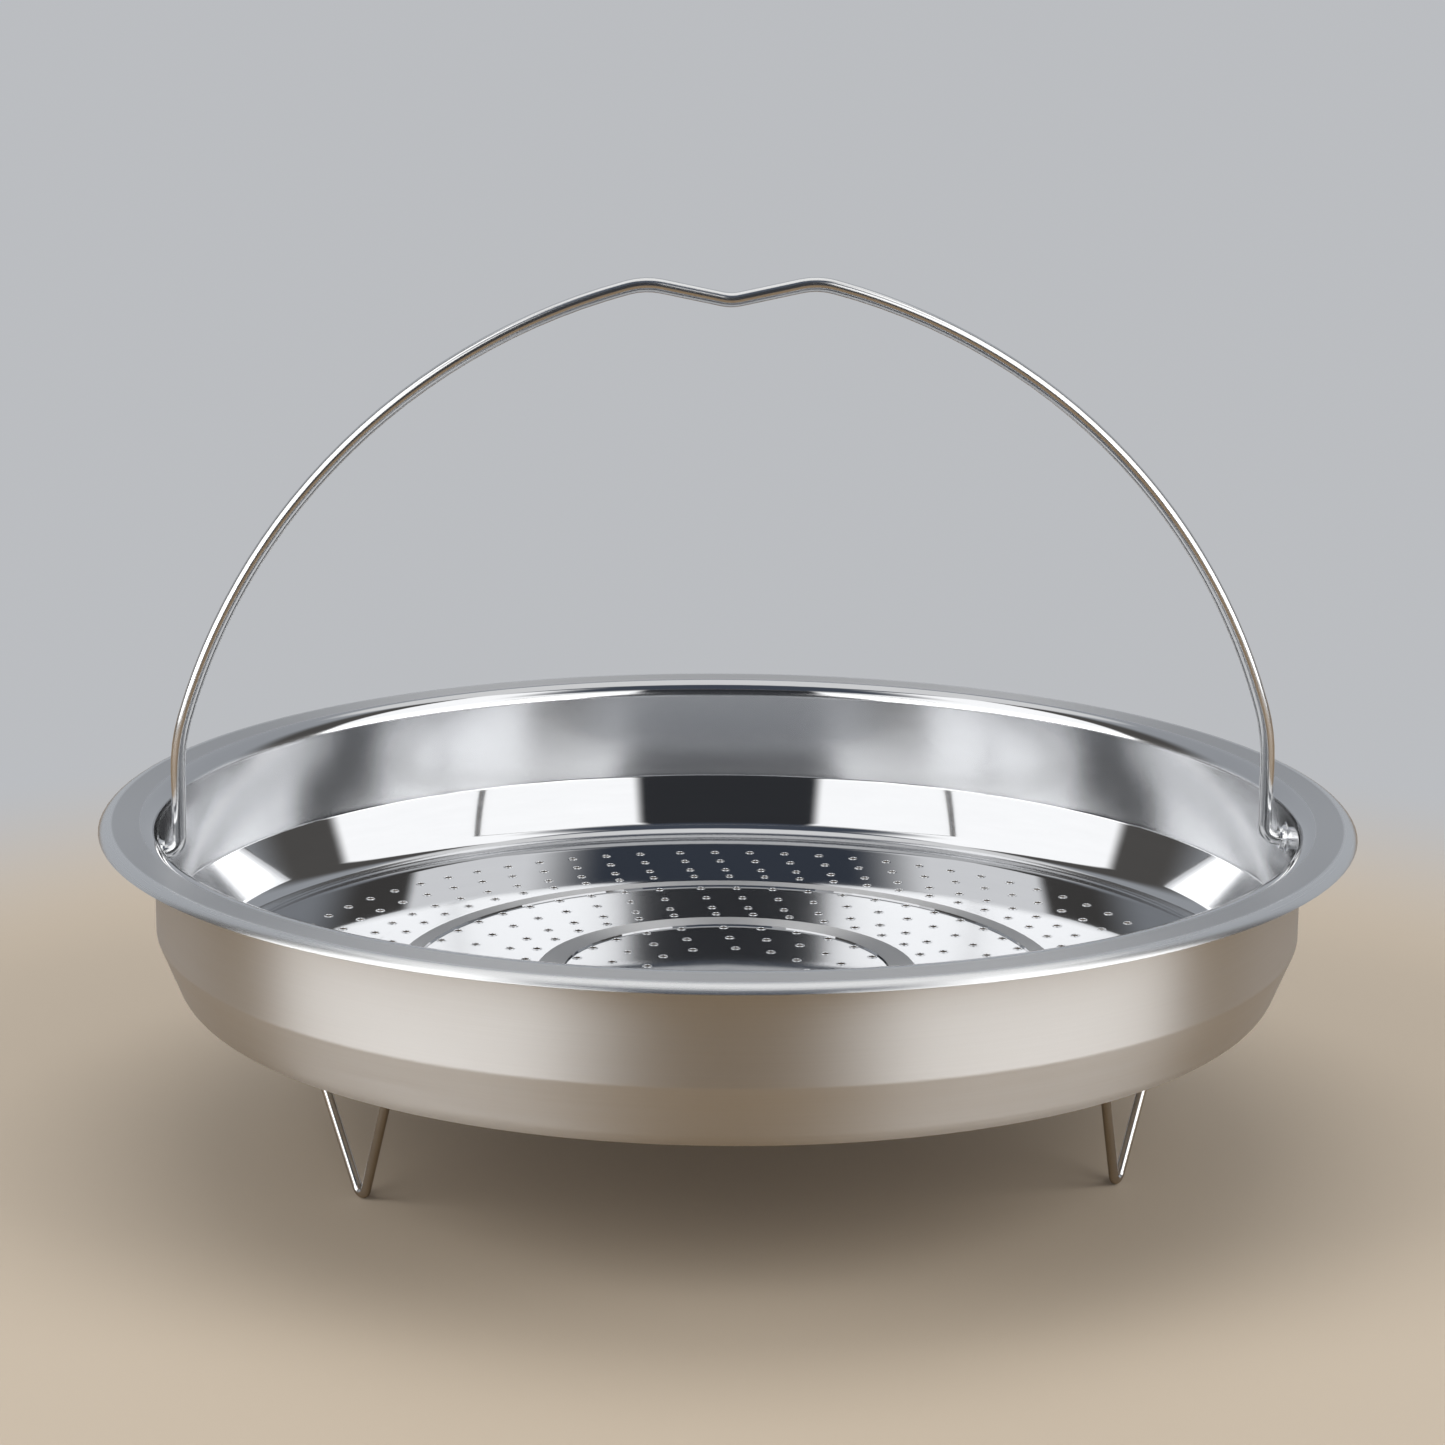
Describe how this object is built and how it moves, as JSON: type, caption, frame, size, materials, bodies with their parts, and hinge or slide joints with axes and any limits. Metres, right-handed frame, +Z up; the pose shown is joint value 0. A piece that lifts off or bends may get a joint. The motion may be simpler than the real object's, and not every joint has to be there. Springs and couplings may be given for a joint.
{
  "type": "steamer basket",
  "caption": "Pressed steel steamer basket: a shallow perforated pan with a wide flange, a folding wire bail and V-shaped wire feet, for steaming food in a pot.",
  "frame": {"origin": "centre of the basin's axis on the surface that the three wire feet stand on", "axes": "+Z up along the basin's axis; X along the bail's hinge line; -Y is the front, with one foot at the back on +Y"},
  "size_m": [0.26, 0.26, 0.1793],
  "materials": {
    "sheet_steel": "satin flange and outer wall, mirror-polished inside",
    "bail_wire": "bright drawn and polished stainless wire",
    "foot_wire": "bright drawn and polished stainless wire"
  },
  "bodies": {
    "basket": {"basin": "sheet_steel", "foot_back": "foot_wire", "foot_left": "foot_wire", "foot_right": "foot_wire"},
    "bail": {"bail": "bail_wire"}
  },
  "joints": [
    {"name": "bail_hinge", "type": "hinge", "parent": "basket", "child": "bail", "pos_m": [0, 0, 0.0605], "axis": [1, 0, 0], "range_deg": [-85, 85]}
  ]
}
